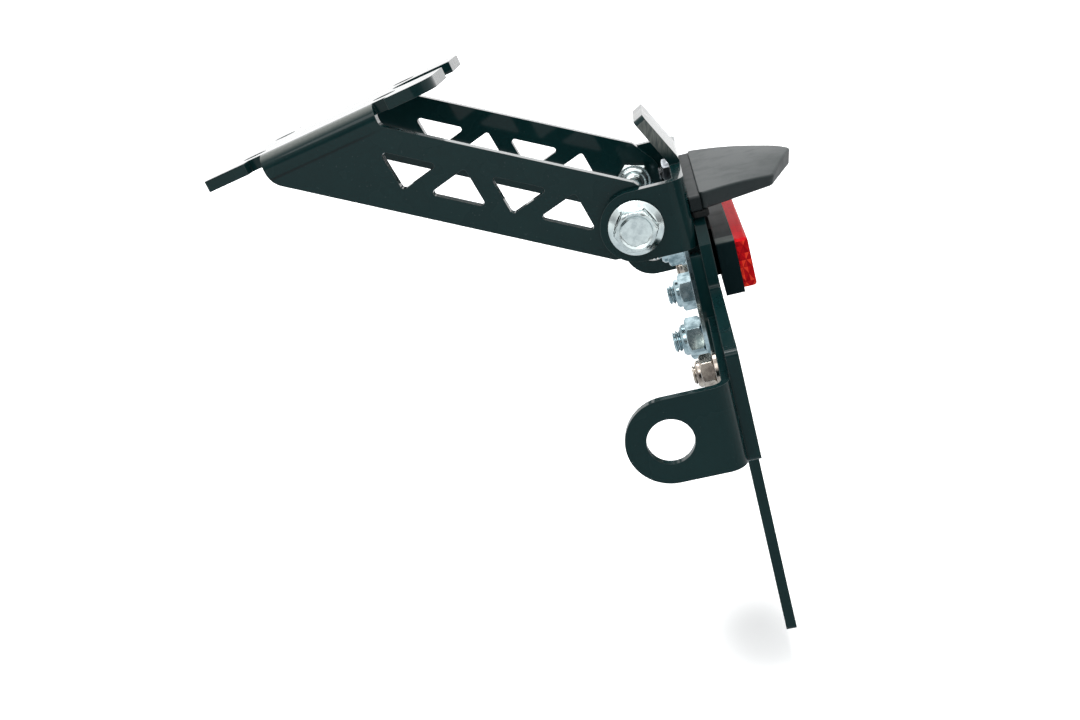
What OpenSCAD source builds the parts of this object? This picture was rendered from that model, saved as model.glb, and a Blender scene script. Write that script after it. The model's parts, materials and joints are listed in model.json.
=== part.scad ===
// Tail tidy: a folded bracket with lattice arms, a tilting carrier and a licence plate holder.
// The origin is the middle of the mounting face. X points rearwards, Y to the bike's right, Z up.

/* [Tail bracket] */
// Thickness of the folded sheet
sheet_t = 3; // [2:0.1:4]
// Width over the two arms
arms_w = 60.9; // [50:0.1:80]
// Tilt of the mounting face, rising rearwards, in degrees
seat_tilt = 24.4; // [10:0.1:35]
// Distance from the middle of the mounting face to its front edge
seat_front = 30.3; // [28:0.1:45]
// Distance from the middle of the mounting face to the ends of its rear tabs
seat_rear = 35.1; // [33:0.1:50]
// Length of the front tab
front_tab_l = 12; // [10:0.1:14]
// Length of the rear tabs
rear_tab_l = 12.7; // [11:0.1:16]
// Width of the relief cut at each end of the folds
relief_w = 4; // [2:0.1:5]
// Outer radius of the folds along the arms
arm_fold_r = 4; // [3.2:0.1:6]
// Width of the gap between the rear tabs
fork_gap = 14; // [8:0.1:18]
// Depth of the gap between the rear tabs
fork_depth = 16; // [10:0.1:22]
// Corner radius of the rear tabs
fork_corner_r = 6; // [1:0.1:7]
// Corner radius of the front tab
tab_corner_r = 1; // [0.3:0.1:4]
// Diameter of the mounting holes
seat_hole_d = 6.5; // [5:0.1:8]
// Distance from the front pair of mounting holes to the rear pair
seat_hole_run = 39; // [34:0.1:44]
// Spacing across the front pair of mounting holes
front_hole_w = 32; // [20:0.1:44]
// Spacing across the rear pair of mounting holes
rear_hole_w = 31; // [27:0.1:40]

/* [Arms] */
// Distance rearwards from the mounting face's middle to the pivot
pivot_back = 84.3; // [70:0.1:110]
// Distance down from the mounting face's middle to the pivot
pivot_drop = 21.9; // [15:0.1:30]
// Slope of the arms, falling rearwards, in degrees
arm_slope = 11.9; // [5:0.1:18]
// Depth of an arm
arm_depth = 20.7; // [18:0.1:26]
// Radius of the arm's end round the pivot
arm_end_r = 8.3; // [6.5:0.1:9]
// Distance from the pivot at which the arm narrows to its end
arm_neck = 3; // [1:0.1:8]
// Radius of the arm's lower front corner
arm_front_r = 6; // [2:0.1:8]
// Radius of the inner corner behind the mounting face
arm_inner_r = 2.5; // [1:0.1:4]
// Number of triangular windows in each arm
window_count = 4; // [2:1:4]
// Distance from the pivot to the rearmost window's middle
window_first = 17; // [15:0.1:20]
// Spacing of the windows
window_pitch = 14.4; // [14:0.1:16]
// Height of a window
window_h = 8.2; // [5:0.1:10]
// Width of a window
window_w = 13.4; // [8:0.1:14]
// Corner radius of a window
window_r = 0.9; // [0.4:0.1:1.4]

/* [Pivot fasteners] */
// Thread diameter of the pivot bolts
pivot_d = 6; // [5:0.1:7]
// Running clearance round the pivot bolts in the carrier's ears
pivot_clear = 0.05; // [0.02:0.01:0.09]
// Gap between the flat faces that turn on each other
face_gap = 0.05; // [0.02:0.01:0.3]
// Clearance round a bolt in a plain hole
hole_clear = 0.25; // [0.1:0.01:0.5]
// Clearance between a bolt's thread and its nut
thread_clear = 0.02; // [0.01:0.01:0.1]
// Flange diameter of the pivot bolts
flange_d = 14.2; // [13:0.1:16]
// Height of a pivot bolt's head with its flange
pivot_head_h = 5.8; // [4.5:0.1:7]
// Size across the flats of the pivot bolts and their nuts
pivot_af = 10; // [9:0.1:11]
// Height of a pivot nut
pivot_nut_h = 6; // [4:0.1:7]
// Length of thread that stands out of the nuts
bolt_proud = 2.2; // [0.5:0.1:4]

/* [Carrier] */
// Tilt of the plate from upright, its foot rearwards, in degrees
plate_tilt = 14.84; // [5:0.01:25]
// Thickness of the carrier's sheet
carrier_t = 3; // [2:0.1:4]
// Radius of the ears round the pivot
ear_r = 9.2; // [8.2:0.1:11]
// Distance from the pivot to the front face of the carrier's web
web_front = 11.4; // [10.8:0.1:16]
// Outer radius of the ears' folds
ear_fold_r = 4.5; // [3.2:0.1:6]
// Width of the carrier's lower web
web_w = 67; // [56:0.1:72]
// Distance from the pivot down to the web's lower edge
web_down = 44; // [42:0.1:60]
// Corner radius of the web's lower edge
web_corner_r = 5; // [1:0.1:8]
// Height of the cut between an ear and the lower web
ear_relief = 1.8; // [1:0.1:3]
// Width of the tab on the carrier's top
tab_w = 24; // [12:0.1:30]
// Length of the tab beyond its fold
tab_l = 13.8; // [8:0.1:20]
// Angle at which the tab folds forwards
tab_fold = 27.5; // [10:0.1:45]
// Inner radius of the tab's fold
tab_fold_r = 2; // [0.5:0.1:4]
// Radius of the tab's end corners
tab_end_r = 2; // [0.5:0.1:5]

/* [Carrier fasteners] */
// Thread diameter of the carrier bolts
carrier_d = 6; // [5:0.1:6]
// Distance from an arm's inner face to the carrier bolts
carrier_bolt_in = 5.45; // [5.4:0.05:9]
// Distance from the pivot down to the upper carrier bolts
upper_bolt_down = 9.6; // [9.2:0.1:12]
// Distance from the pivot down to the lower carrier bolts
lower_bolt_down = 36.3; // [34:0.1:37]
// Head diameter of the countersunk carrier bolts
carrier_head_d = 11.3; // [9:0.1:11.5]
// Size across the flats of the carrier nuts
carrier_af = 10; // [8:0.1:10]
// Height of a carrier nut
carrier_nut_h = 6; // [4:0.1:6.4]
// Thickness of the backing strips under the carrier nuts
strip_t = 1.15; // [0.8:0.01:1.2]
// Width of the backing strips
strip_w = 11.6; // [10:0.1:11.8]

/* [Plate holder] */
// Thickness of the plate holder
holder_t = 3; // [2.8:0.1:4]
// Width of the holder's stem
stem_w = 68; // [60:0.1:80]
// Distance from the pivot down to the holder's top edge
holder_top = 1; // [0.9:0.1:3]
// Size of the cut corners of the stem
stem_cut = 7.6; // [2:0.1:8]
// Width over the wings
wing_w = 167; // [150:0.1:200]
// Distance from the pivot down to the wings' shoulder
wing_top = 20.3; // [16:0.1:22]
// Distance from the pivot down to the wings' lower edge
wing_bottom = 47.4; // [47.4:0.1:56]
// Width of the tongue
tongue_w = 54; // [44:0.1:64]
// Distance from the pivot down to the tongue's end
tongue_end = 128.4; // [100:0.1:150]
// Corner radius of the holder's outline
holder_corner_r = 1.5; // [0.5:0.1:3]
// Diameter of the licence plate holes
plate_hole_d = 6.5; // [5:0.1:7]
// Distance from a wing's end to its licence plate hole
plate_hole_in = 10.5; // [9:0.1:14]
// Spacing across the licence plate holes in the tongue
tongue_hole_w = 36; // [20:0.1:38]
// Distance from the tongue's end up to its holes
tongue_hole_up = 10; // [8:0.1:20]

/* [Indicator brackets] */
// Thickness of the indicator brackets
indicator_t = 2; // [1.5:0.1:3]
// Outer radius of their fold
indicator_fold_r = 4.5; // [3.2:0.1:5]
// Height of the brackets
indicator_h = 20.4; // [18:0.1:21]
// Distance from the pivot line forwards to the indicator hole
indicator_fore = 1.3; // [0:0.1:6]
// Diameter of the indicator hole
indicator_hole_d = 10.8; // [8:0.1:13]
// Gap between the carrier's web and a bracket
indicator_gap = 5; // [1:0.1:7]
// Spacing across the bracket bolts
bracket_bolt_w = 100; // [97:0.1:112]
// Thread diameter of the bracket bolts
bracket_d = 5; // [4:0.1:5]
// Head diameter of the countersunk bracket bolts
bracket_head_d = 9.2; // [8:0.1:9.6]
// Size across the flats of the bracket nuts
bracket_af = 8; // [7:0.1:8]
// Height of a bracket nut
bracket_nut_h = 4.7; // [4:0.1:6]
// Length of thread that stands out of the bracket nuts
bracket_proud = 0.9; // [0.5:0.1:3]
// Outer diameter of the bracket washers
washer_d = 10; // [9.4:0.1:11]
// Thickness of the bracket washers
washer_t = 1; // [0.5:0.1:1.6]

/* [Licence light] */
// Width of the light
light_w = 61; // [50:0.1:64]
// Distance from the pivot line down to the light's lower edge
light_down = 0.6; // [0:0.1:0.8]
// Height of the light's base
light_base_h = 4; // [3.6:0.1:4.4]
// Thickness of the light's base
light_base_t = 2.9; // [1.5:0.1:4]
// Reach of the hood behind its base
hood_reach = 27; // [21:0.1:35]
// Distance behind the base at which the hood's sides turn to its tip
hood_turn = 19.5; // [12:0.1:20]
// Width of the hood where it turns to its tip
hood_turn_w = 44; // [30:0.1:50]
// Height of the hood
hood_h = 4.6; // [4:0.1:6]
// Corner radius at the hood's tip
hood_tip_r = 5; // [3:0.1:8]
// Corner radius where the hood turns
hood_turn_r = 4; // [2:0.1:8]
// Wall of the hood
hood_wall = 1.2; // [0.8:0.1:1.4]
// Thickness of the light's clear lens
lens_t = 0.8; // [0.5:0.1:1]
// Thickness of the light's board
board_t = 0.6; // [0.4:0.1:0.8]
// Number of lamps on the board
lamp_count = 6; // [2:1:6]
// Spacing of the lamps
lamp_pitch = 7; // [5:0.1:8]
// Size of a lamp
lamp_size = 3; // [2:0.1:4]
// Distance from the hood's front to the lamps
lamp_back = 6; // [4:0.1:10]
// Spacing across the light's studs
light_stud_w = 38; // [16:0.1:38]
// Diameter of the light's studs
light_stud_d = 4; // [3:0.1:4]
// Size across the flats of the light's nuts
light_nut_af = 7; // [5.5:0.1:7]
// Height of the light's nuts
light_nut_h = 2.4; // [2:0.1:2.8]

/* [Reflector] */
// Width of the reflector
reflector_w = 60; // [40:0.1:66]
// Height of the reflector's housing
reflector_h = 14.6; // [12.6:0.1:18]
// Distance from the pivot down to the reflector's top
reflector_top = 10; // [6:0.1:10]
// Depth of the reflector's housing
reflector_depth = 4.9; // [3:0.1:7]
// Height of the foot that stands the housing off the holder
reflector_foot = 1.1; // [0.8:0.1:3]
// Width of the foot
reflector_foot_w = 20; // [14:0.1:24]
// Thickness of the red lens in front of the housing
red_t = 3.4; // [2:0.1:5]
// Margin between the housing's edge and the lens
red_margin = 0.5; // [0.3:0.1:1]
// Depth of the lens's seat in the housing
red_seat = 1.5; // [0.8:0.1:2]
// Clearance round the lens in its seat
red_clear = 0.05; // [0.02:0.01:0.2]
// Diameter of the reflector's stud
reflector_stud_d = 5; // [4:0.1:5]
// Size across the flats of the reflector's nut
reflector_nut_af = 8; // [7:0.1:8]
// Height of the reflector's nut
reflector_nut_h = 4; // [3:0.1:5]

/* [Hidden] */

$fn = 64;
// Overlap that lets one cut run clear through another face
over = 1;

black = "#1c1f22";
zinc = "#c3ccd3";
steel = "#cdc6ba";

seat_lead = [cos(seat_tilt), sin(seat_tilt)];
seat_up = [-sin(seat_tilt), cos(seat_tilt)];
pivot = [pivot_back, -pivot_drop];
arm_lead = [cos(arm_slope), -sin(arm_slope)];
arm_up = [sin(arm_slope), cos(arm_slope)];

fold_start = -(seat_front - front_tab_l - relief_w);
fold_end = seat_rear - rear_tab_l - relief_w;
arm_inner = arms_w / 2 - sheet_t;
ear_inner = arms_w / 2 + face_gap;
ear_outer = ear_inner + carrier_t;
carrier_flat = ear_outer - ear_fold_r;
web_back = web_front + carrier_t;
holder_back = web_back + holder_t;
strip_front = web_front - strip_t;
indicator_front = web_back - indicator_t;
indicator_outer = wing_w / 2 + indicator_fold_r;
indicator_inner = web_w / 2 + indicator_gap;
indicator_mid = lower_bolt_down;
carrier_bolt_y = arm_inner - carrier_bolt_in;
plate_hole_y = wing_w / 2 - plate_hole_in;
hood_front = web_back + light_base_t;
lamp_h = 0.5;
light_gap = 0.05;
light_mid = light_base_h / 2 - light_down;
reflector_front = holder_back + reflector_foot;
reflector_face = reflector_front + reflector_depth;
reflector_mid = -(reflector_top + reflector_h / 2);
carrier_nut_end = strip_front - carrier_nut_h;
bracket_nut_end = indicator_front - washer_t - bracket_nut_h;
pivot_nut_end = arm_inner - pivot_nut_h;

// Points in the side view, from distances along and above the mounting face, or along and above an arm
function seat_point(a, n) = a * seat_lead + n * seat_up;
function arm_point(a, n) = pivot + a * arm_lead + n * arm_up;

function cross2(a, b) = a.x * b.y - a.y * b.x;
function unit2(v) = v / norm(v);

// The point where the line through p along d meets the line through q along e
function meet(p, d, q, e) = p + d * cross2(q - p, e) / cross2(d, e);

// Corner i of an outline, as [tangent point, tangent point, centre of the rounding, turn]
function corner(pts, i, r) =
    let (n = len(pts), at = pts[i], from = pts[(i + n - 1) % n], to = pts[(i + 1) % n],
        a = unit2(from - at), b = unit2(to - at), half = acos(a * b) / 2, back = r / tan(half))
    [at + a * back, at + b * back, at + unit2(a + b) * r / sin(half), cross2(-a, b)];

// An outline drawn anticlockwise, with its corners rounded to the given radii
module rounded(pts, radii) {
    corners = [for (i = [0:len(pts) - 1]) corner(pts, i, radii[i])];
    trimmed = [for (i = [0:len(pts) - 1]) each radii[i] > 0 ? [corners[i][0], corners[i][1]] : [pts[i]]];
    difference() {
        union() {
            polygon(trimmed);
            for (i = [0:len(pts) - 1]) if (radii[i] > 0 && corners[i][3] > 0)
                translate(corners[i][2]) circle(radii[i]);
        }
        for (i = [0:len(pts) - 1]) if (radii[i] > 0 && corners[i][3] < 0)
            translate(corners[i][2]) circle(radii[i]);
    }
}

// A rounded rectangle between two opposite corners
module panel(low, high, r) {
    rounded([low, [high.x, low.y], high, [low.x, high.y]], [r, r, r, r]);
}

// Stands a side view up in the XZ plane and gives it a width across the bike, from y_low to y_high
module across(y_low, y_high) {
    translate([0, y_high, 0]) rotate([90, 0, 0]) linear_extrude(y_high - y_low) children();
}

// Frames: the mounting face, and the plate, whose X runs rearwards through it from the pivot
module on_seat() { rotate([0, -seat_tilt, 0]) children(); }
module on_plate() { translate([pivot.x, 0, pivot.y]) rotate([0, -plate_tilt, 0]) children(); }

// Turns a shape drawn along +Z so that it runs forwards, with its foot at depth x behind the pivot
module forwards(x, y, z) { translate([x, y, z]) rotate([0, -90, 0]) children(); }

// Lays an outline of (across, up) as a sheet from depth x_low to x_high
module sheet(x_low, x_high) {
    translate([x_low, 0, 0]) rotate([90, 0, 90]) linear_extrude(x_high - x_low) children();
}

module drill(x_low, x_high, y, z, d) {
    translate([x_low - over, y, z]) rotate([0, 90, 0]) cylinder(h = x_high - x_low + 2 * over, d = d);
}

// A hole through a sheet with a countersink that opens rearwards at x_high
module countersunk(x_low, x_high, y, z, d, head_d) {
    drill(x_low, x_high, y, z, d);
    translate([x_high - (head_d - d) / 2, y, z]) rotate([0, 90, 0])
        cylinder(h = (head_d - d) / 2, d1 = d, d2 = head_d);
    drill(x_high, x_high, y, z, head_d);
}

// Fasteners, drawn along +Z from their seat

module hex(af, h) { cylinder(h = h, d = af / cos(30), $fn = 6); }

// A locking nut with a chamfered hexagon and a rounded collar
module lock_nut(d, af, h) {
    hex_h = h * 0.74;
    bevel = af * 0.06;
    wide = af / cos(30) / 2;
    collar = af * 0.43;
    difference() {
        union() {
            intersection() {
                hex(af, hex_h);
                union() {
                    cylinder(h = bevel, r1 = af / 2, r2 = wide);
                    translate([0, 0, bevel]) cylinder(h = hex_h - 2 * bevel, r = wide + 0.1);
                    translate([0, 0, hex_h - bevel]) cylinder(h = bevel, r1 = wide, r2 = af / 2);
                }
            }
            translate([0, 0, hex_h]) cylinder(h = h - hex_h - bevel, r = collar);
            translate([0, 0, h - bevel]) cylinder(h = bevel, r1 = collar, r2 = collar - bevel);
        }
        translate([0, 0, -over]) cylinder(h = h + 2 * over, d = d + 2 * thread_clear);
    }
}

// A plain nut
module plain_nut(d, af, h) {
    bevel = af * 0.05;
    difference() {
        intersection() {
            hex(af, h);
            union() {
                cylinder(h = h - bevel, d = af / cos(30) + 0.2);
                translate([0, 0, h - bevel]) cylinder(h = bevel, r1 = af / cos(30) / 2, r2 = af / 2);
            }
        }
        translate([0, 0, -over]) cylinder(h = h + 2 * over, d = d + 2 * thread_clear);
    }
}

// A threaded shank of length l with a bevelled end
module shank(d, l) {
    bevel = d * 0.12;
    cylinder(h = l - bevel, d = d);
    translate([0, 0, l - bevel]) cylinder(h = bevel, d1 = d, d2 = d - 2 * bevel);
}

// A hexagon bolt with a flange, its seat at z = 0 and its shank pointing down
module flange_bolt(d, af, flange, head_h, l) {
    rim = head_h * 0.2;
    slope_h = head_h * 0.2;
    wide = af / cos(30) / 2;
    bevel = af * 0.06;
    dish = af * 0.41;
    rotate([180, 0, 0]) shank(d, l);
    difference() {
        union() {
            cylinder(h = rim, d = flange);
            translate([0, 0, rim]) cylinder(h = slope_h, d1 = flange, d2 = af);
            intersection() {
                hex(af, head_h);
                union() {
                    cylinder(h = head_h - bevel, r = wide + 0.1);
                    translate([0, 0, head_h - bevel]) cylinder(h = bevel, r1 = wide, r2 = af / 2);
                }
            }
        }
        translate([0, 0, head_h - bevel]) cylinder(h = bevel + over, r1 = dish * 0.9, r2 = dish * 0.9 + bevel + over);
    }
}

// A countersunk bolt, its head's face at z = 0 and its shank pointing up
module countersunk_bolt(d, head_d, l) {
    cone = (head_d - d) / 2;
    difference() {
        union() {
            cylinder(h = cone, d1 = head_d, d2 = d);
            shank(d, l);
        }
        translate([0, 0, -over]) rotate([0, 0, 15]) hex(d * 0.62, over + cone * 0.75);
    }
}

// The folded arms and mounting face

// A triangular window about the arm's middle line, its point up or down
module window(along, up) {
    s = up ? 1 : -1;
    half = s * (window_w / 2 - window_r);
    rise = s * (window_h / 2 - window_r);
    ring = [arm_point(-along - half, -rise), arm_point(-along + half, -rise), arm_point(-along, rise)];
    polygon([for (i = [0:2]) each
        let (a = ring[i], b = ring[(i + 1) % 3], d = unit2(b - a), out = [d.y, -d.x] * window_r)
        [a + out, b + out]]);
    for (p = ring) translate(p) circle(window_r);
}

module arm_outline() {
    half = arm_depth / 2;
    neck_d = norm([arm_neck, half]);
    swing = atan2(half, -arm_neck) - acos(arm_end_r / neck_d);
    tangent = arm_end_r * [cos(swing), sin(swing)];
    front_low = meet(seat_point(fold_start, 0), seat_up, arm_point(0, -half), arm_lead);
    inner = meet(seat_point(fold_end, 0), seat_up, arm_point(0, half), arm_lead);
    difference() {
        union() {
            rounded([seat_point(fold_start, 0), front_low, arm_point(-arm_neck, -half),
                arm_point(tangent.x, -tangent.y), arm_point(tangent.x, tangent.y),
                arm_point(-arm_neck, half), inner, seat_point(fold_end, 0)],
                [0, arm_front_r, 0, 0, 0, 0, arm_inner_r, 0]);
            translate(pivot) circle(arm_end_r);
        }
        translate(pivot) circle(d = pivot_d + 2 * hole_clear);
        for (i = [0:window_count - 1]) window(window_first + i * window_pitch, i % 2 == 0);
    }
}

// The section across the folds, with the mounting face on top
module arms_section() {
    deep = pivot_back;
    difference() {
        rounded([[-arms_w / 2, -deep], [arms_w / 2, -deep], [arms_w / 2, 0], [-arms_w / 2, 0]],
            [0, 0, arm_fold_r, arm_fold_r]);
        rounded([[-arm_inner, -deep - over], [arm_inner, -deep - over], [arm_inner, -sheet_t],
            [-arm_inner, -sheet_t]], [0, 0, arm_fold_r - sheet_t, arm_fold_r - sheet_t]);
    }
}

module seat_outline() {
    wide = arms_w / 2;
    slim = wide - arm_fold_r;
    tab_back = seat_rear - rear_tab_l;
    tab_front = front_tab_l - seat_front;
    root = seat_rear - fork_depth + fork_gap / 2;
    difference() {
        rounded([[-seat_front, -wide], [tab_front, -wide], [tab_front, -slim], [tab_back, -slim],
            [tab_back, -wide], [seat_rear, -wide], [seat_rear, wide], [tab_back, wide], [tab_back, slim],
            [tab_front, slim], [tab_front, wide], [-seat_front, wide]],
            [tab_corner_r, 0, 0, 0, 0, fork_corner_r, fork_corner_r, 0, 0, 0, 0, tab_corner_r]);
        translate([root, 0]) circle(d = fork_gap);
        translate([root, -fork_gap / 2]) square([fork_depth + over, fork_gap]);
        for (side = [-1, 1]) {
            translate([-seat_hole_run / 2, side * front_hole_w / 2]) circle(d = seat_hole_d);
            translate([seat_hole_run / 2, side * rear_hole_w / 2]) circle(d = seat_hole_d);
        }
    }
}

module tail_bracket() {
    color(black) {
        difference() {
            intersection() {
                on_seat() translate([-seat_front, 0, 0]) rotate([90, 0, 90])
                    linear_extrude(seat_front + 2 * pivot_back) arms_section();
                across(-arms_w / 2, arms_w / 2) arm_outline();
            }
            on_seat() for (side = [-1, 1])
                translate([-seat_hole_run / 2, side * front_hole_w / 2, -sheet_t - over])
                    cylinder(h = sheet_t + 2 * over, d = seat_hole_d);
            on_seat() for (side = [-1, 1])
                translate([seat_hole_run / 2, side * rear_hole_w / 2, -sheet_t - over])
                    cylinder(h = sheet_t + 2 * over, d = seat_hole_d);
        }
        on_seat() translate([0, 0, -sheet_t]) linear_extrude(sheet_t) seat_outline();
    }
}

// Pivot fasteners: each ear has its own bolt, with the nut inside the arm

module pivot_bolt(side) {
    l = ear_outer + face_gap - pivot_nut_end + bolt_proud;
    color(zinc) translate([pivot.x, side * (ear_outer + face_gap), pivot.y]) rotate([-side * 90, 0, 0])
        rotate([0, 0, 12]) flange_bolt(pivot_d, pivot_af, flange_d, pivot_head_h, l);
}

module pivot_nut(side) {
    color(zinc) translate([pivot.x, side * arm_inner, pivot.y]) rotate([side * 90, 0, 0])
        lock_nut(pivot_d, pivot_af, pivot_nut_h);
}

module left_pivot_bolt() { pivot_bolt(-1); }
module right_pivot_bolt() { pivot_bolt(1); }
module left_pivot_nut() { pivot_nut(-1); }
module right_pivot_nut() { pivot_nut(1); }

// The carrier: ears outside the arms, a web down to the plate holder and a tab folded forwards

module ear_outline() {
    difference() {
        union() {
            translate([0, -ear_r]) square([web_back, 2 * ear_r]);
            circle(ear_r);
        }
        circle(d = pivot_d + 2 * pivot_clear);
    }
}

module carrier_section() {
    long = ear_r + over;
    in = ear_fold_r - carrier_t;
    difference() {
        rounded([[-long, -ear_outer], [web_back, -ear_outer], [web_back, ear_outer], [-long, ear_outer]],
            [0, ear_fold_r, ear_fold_r, 0]);
        rounded([[-long - over, -ear_inner], [web_front, -ear_inner], [web_front, ear_inner],
            [-long - over, ear_inner]], [0, in, in, 0]);
    }
}

module lower_web_outline() {
    wide = web_w / 2;
    shoulder = -ear_r - ear_relief;
    rounded([[-wide, -web_down], [wide, -web_down], [wide, shoulder], [carrier_flat, shoulder],
        [carrier_flat, 0], [-carrier_flat, 0], [-carrier_flat, shoulder], [-wide, shoulder]],
        [web_corner_r, web_corner_r, 0, 0, 0, 0, 0, 0]);
}

// The tab: its root, its fold about a line in front of the web, and its flat end
module tab() {
    half = tab_w / 2;
    outer = tab_fold_r + carrier_t;
    hinge = web_front - tab_fold_r;
    across(-half, half) {
        translate([web_front, 0]) square([carrier_t, ear_r]);
        translate([hinge, ear_r]) intersection() {
            difference() {
                circle(outer);
                circle(tab_fold_r);
            }
            polygon([[0, 0], [2 * outer, 0], 2 * outer * [cos(tab_fold), sin(tab_fold)]]);
        }
    }
    translate([hinge, 0, ear_r]) rotate([0, -tab_fold, 0]) sheet(tab_fold_r, outer)
        rounded([[-half, 0], [half, 0], [half, tab_l], [-half, tab_l]], [0, 0, tab_end_r, tab_end_r]);
}

module plate_carrier() {
    color(black) on_plate() difference() {
        union() {
            intersection() {
                translate([0, 0, -ear_r]) linear_extrude(2 * ear_r) carrier_section();
                across(-ear_outer, ear_outer) ear_outline();
            }
            sheet(web_front, web_back) lower_web_outline();
            tab();
        }
        for (side = [-1, 1]) {
            for (down = [upper_bolt_down, lower_bolt_down])
                drill(web_front, web_back, side * carrier_bolt_y, -down, carrier_d + 2 * hole_clear);
            drill(web_front, web_back, side * light_stud_w / 2, light_mid, light_stud_d + 2 * hole_clear);
        }
        drill(web_front, web_back, 0, reflector_mid, reflector_stud_d + 2 * hole_clear);
    }
}

module backing_strip(side) {
    mid = side * carrier_bolt_y;
    top = -upper_bolt_down + strip_w / 2;
    low = -lower_bolt_down - strip_w / 2;
    color(zinc) on_plate() difference() {
        sheet(strip_front, web_front) panel([mid - strip_w / 2, low], [mid + strip_w / 2, top], strip_w / 4);
        for (down = [upper_bolt_down, lower_bolt_down])
            drill(strip_front, web_front, mid, -down, carrier_d + 2 * hole_clear);
    }
}

module left_backing_strip() { backing_strip(-1); }
module right_backing_strip() { backing_strip(1); }

module carrier_bolts() {
    color(zinc) on_plate() for (side = [-1, 1]) for (down = [upper_bolt_down, lower_bolt_down])
        forwards(holder_back, side * carrier_bolt_y, -down)
            countersunk_bolt(carrier_d, carrier_head_d, holder_back - carrier_nut_end + bolt_proud);
}

module carrier_nuts() {
    color(zinc) on_plate() for (side = [-1, 1]) {
        forwards(strip_front, side * carrier_bolt_y, -upper_bolt_down) rotate([0, 0, 30])
            lock_nut(carrier_d, carrier_af, carrier_nut_h);
        forwards(strip_front, side * carrier_bolt_y, -lower_bolt_down) rotate([0, 0, 14])
            lock_nut(carrier_d, carrier_af, carrier_nut_h);
    }
}

// The plate holder: a stem, two wings and a long tongue in one flat sheet

module holder_outline() {
    stem = stem_w / 2;
    wing = wing_w / 2;
    tongue = tongue_w / 2;
    r = holder_corner_r;
    rounded([[-tongue, -tongue_end], [tongue, -tongue_end], [tongue, -wing_bottom], [wing, -wing_bottom],
        [wing, -wing_top], [stem, -wing_top], [stem, -holder_top - stem_cut], [stem - stem_cut, -holder_top],
        [stem_cut - stem, -holder_top], [-stem, -holder_top - stem_cut], [-stem, -wing_top],
        [-wing, -wing_top], [-wing, -wing_bottom], [-tongue, -wing_bottom]],
        [r, r, r, r, r, r, 0, 0, 0, 0, r, r, r, r]);
}

module plate_holder() {
    color(black) on_plate() difference() {
        sheet(web_back, holder_back) holder_outline();
        for (side = [-1, 1]) {
            for (down = [upper_bolt_down, lower_bolt_down])
                countersunk(web_back, holder_back, side * carrier_bolt_y, -down,
                    carrier_d + 2 * hole_clear, carrier_head_d + 2 * hole_clear);
            countersunk(web_back, holder_back, side * bracket_bolt_w / 2, -indicator_mid,
                bracket_d + 2 * hole_clear, bracket_head_d + 2 * hole_clear);
            drill(web_back, holder_back, side * plate_hole_y, -indicator_mid, plate_hole_d);
            drill(web_back, holder_back, side * tongue_hole_w / 2, tongue_hole_up - tongue_end, plate_hole_d);
        }
        drill(web_back, holder_back, 0, reflector_mid, reflector_stud_d + 2 * hole_clear);
    }
}

// Indicator brackets: a web on the wing and an ear folded forwards

module indicator_section(side) {
    in = indicator_fold_r - indicator_t;
    long = indicator_fore + indicator_h;
    mirror([0, side > 0 ? 0 : 1]) difference() {
        rounded([[indicator_front, indicator_inner], [web_back, indicator_inner], [web_back, indicator_outer],
            [-long, indicator_outer], [-long, indicator_outer - indicator_t],
            [indicator_front, indicator_outer - indicator_t]],
            [0, 0, indicator_fold_r, 0, 0, in]);
    }
}

module indicator_outline() {
    half = indicator_h / 2;
    difference() {
        union() {
            translate([-indicator_fore, -indicator_mid - half]) square([indicator_fore + web_back, indicator_h]);
            translate([-indicator_fore, -indicator_mid]) circle(half);
        }
        translate([-indicator_fore, -indicator_mid]) circle(d = indicator_hole_d);
    }
}

module indicator_bracket(side) {
    half = indicator_h / 2;
    color(black) on_plate() difference() {
        intersection() {
            translate([0, 0, -indicator_mid - half]) linear_extrude(indicator_h) indicator_section(side);
            across(-indicator_outer, indicator_outer) indicator_outline();
        }
        drill(indicator_front, web_back, side * bracket_bolt_w / 2, -indicator_mid, bracket_d + 2 * hole_clear);
        drill(indicator_front, web_back, side * plate_hole_y, -indicator_mid, plate_hole_d);
    }
}

module bracket_bolt(side) {
    color(steel) on_plate() forwards(holder_back, side * bracket_bolt_w / 2, -indicator_mid)
        countersunk_bolt(bracket_d, bracket_head_d, holder_back - bracket_nut_end + bracket_proud);
}

module bracket_washer(side) {
    color(steel) on_plate() forwards(indicator_front, side * bracket_bolt_w / 2, -indicator_mid) difference() {
        cylinder(h = washer_t, d = washer_d);
        translate([0, 0, -over]) cylinder(h = washer_t + 2 * over, d = bracket_d + 2 * hole_clear);
    }
}

module bracket_nut(side) {
    color(steel) on_plate() forwards(indicator_front - washer_t, side * bracket_bolt_w / 2, -indicator_mid)
        rotate([0, 0, 20]) lock_nut(bracket_d, bracket_af, bracket_nut_h);
}

module left_indicator_bracket() { indicator_bracket(-1); }
module right_indicator_bracket() { indicator_bracket(1); }
module left_bracket_bolt() { bracket_bolt(-1); }
module right_bracket_bolt() { bracket_bolt(1); }
module left_bracket_washer() { bracket_washer(-1); }
module right_bracket_washer() { bracket_washer(1); }
module left_bracket_nut() { bracket_nut(-1); }
module right_bracket_nut() { bracket_nut(1); }

// The licence light: a base on the carrier's web, and a pointed hood over a board and a clear lens

module hood_outline(inset) {
    base = light_w / 2 - inset;
    turn = hood_turn_w / 2 - inset;
    front = hood_front + inset;
    tip = hood_front + hood_reach - inset;
    turn_at = hood_front + hood_turn;
    rounded([[front, -base], [turn_at, -turn], [tip, 0], [turn_at, turn], [front, base]],
        [hood_wall, hood_turn_r, hood_tip_r, hood_turn_r, hood_wall]);
}

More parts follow.
